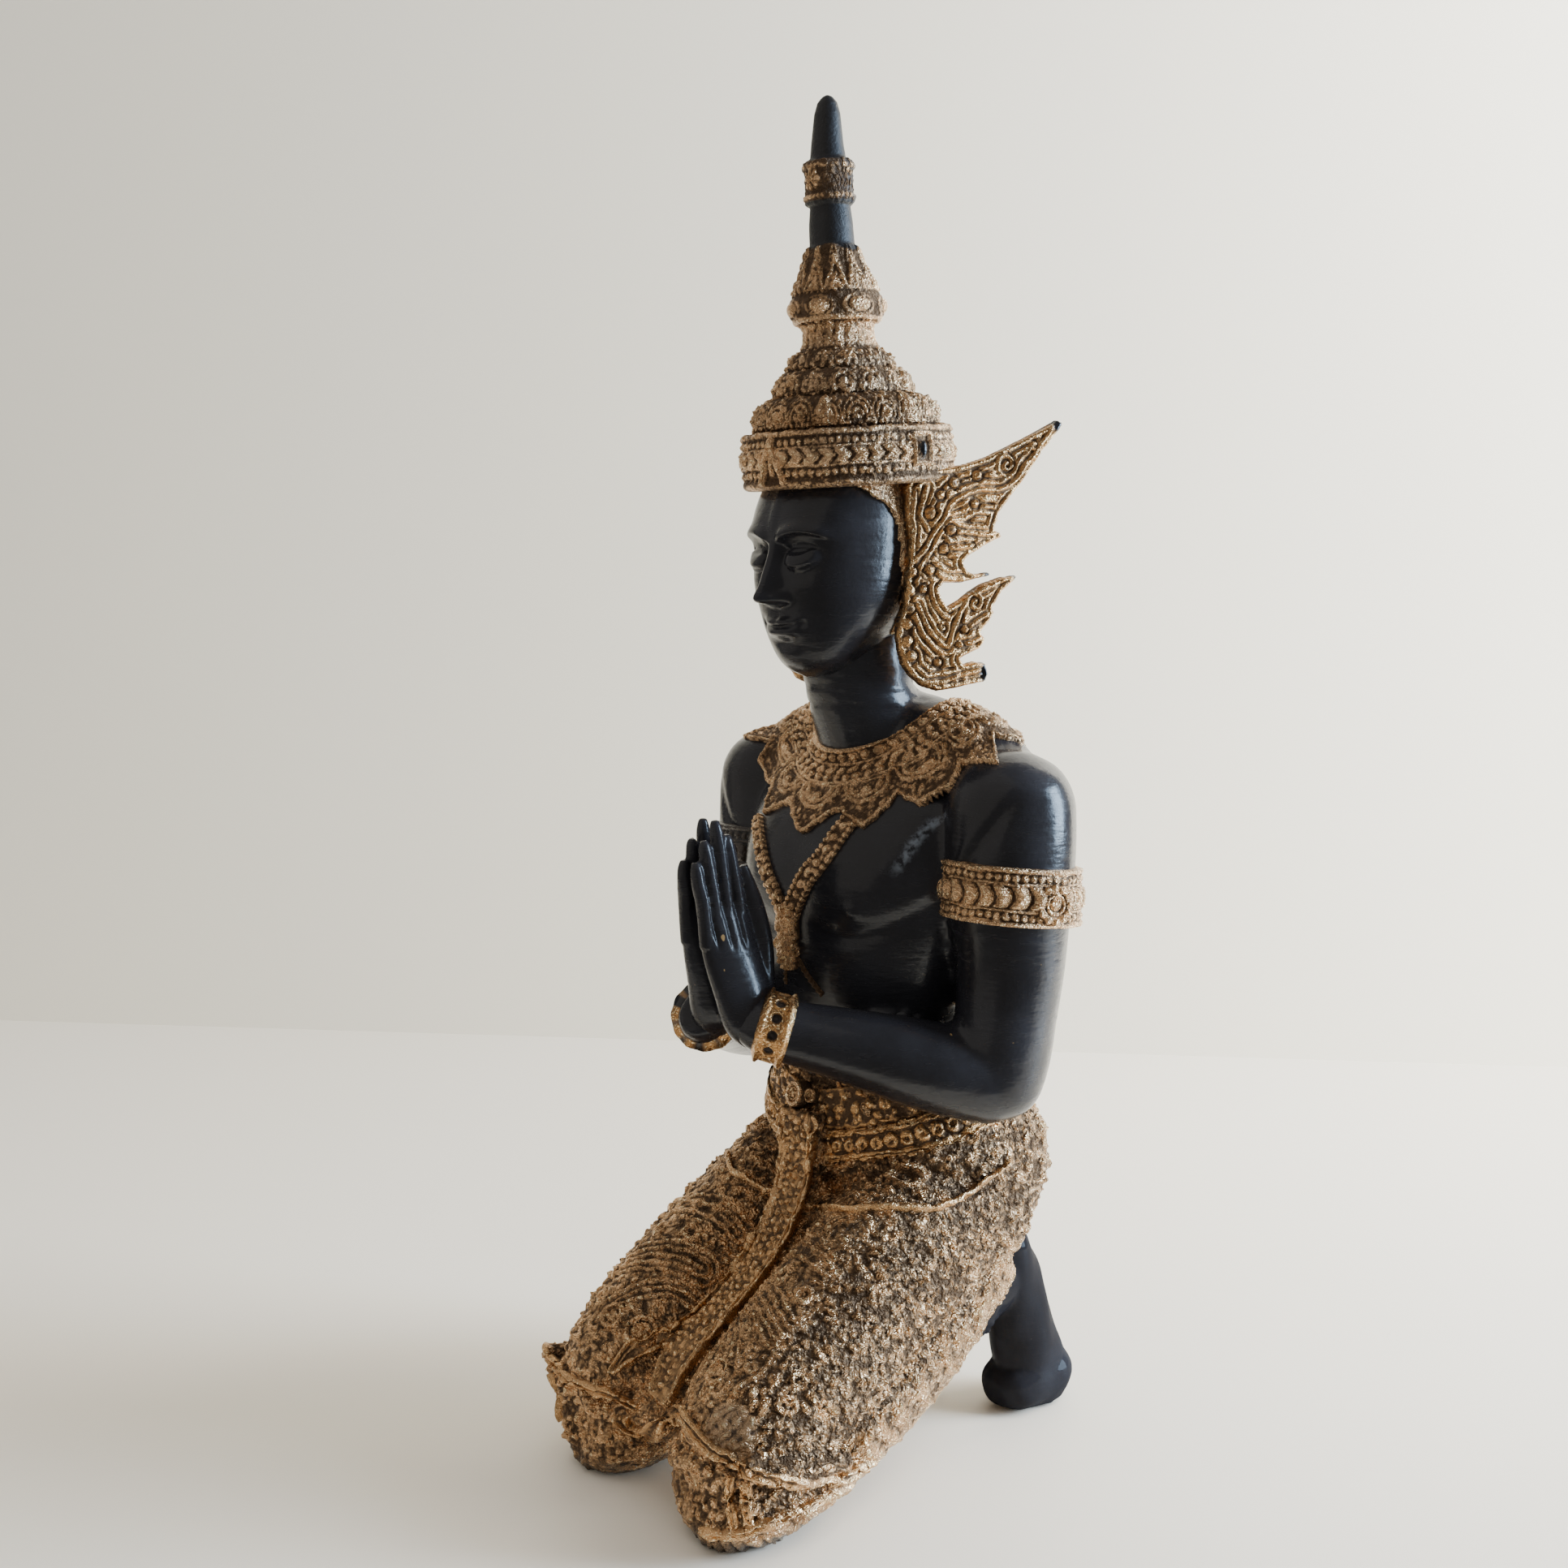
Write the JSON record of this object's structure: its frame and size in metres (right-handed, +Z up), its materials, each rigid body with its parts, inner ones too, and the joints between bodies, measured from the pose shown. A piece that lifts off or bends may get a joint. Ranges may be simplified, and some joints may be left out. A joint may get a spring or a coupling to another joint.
{
  "type": "angel statue",
  "caption": "Kneeling angel with joined palms, tall stepped crown and flame-shaped ear ornaments, cast in metal with black lacquer and gilding.",
  "frame": {"origin": "on the floor under the middle of the figure's bounding box", "axes": "+Z up, the figure faces -Y, its own left side is +X"},
  "size_m": [0.1427, 0.1537, 0.403],
  "materials": {
    "gilded_lacquer": "black lacquer with worn gilding"
  },
  "bodies": {
    "root": {"angel_statue": "gilded_lacquer"}
  },
  "joints": []
}
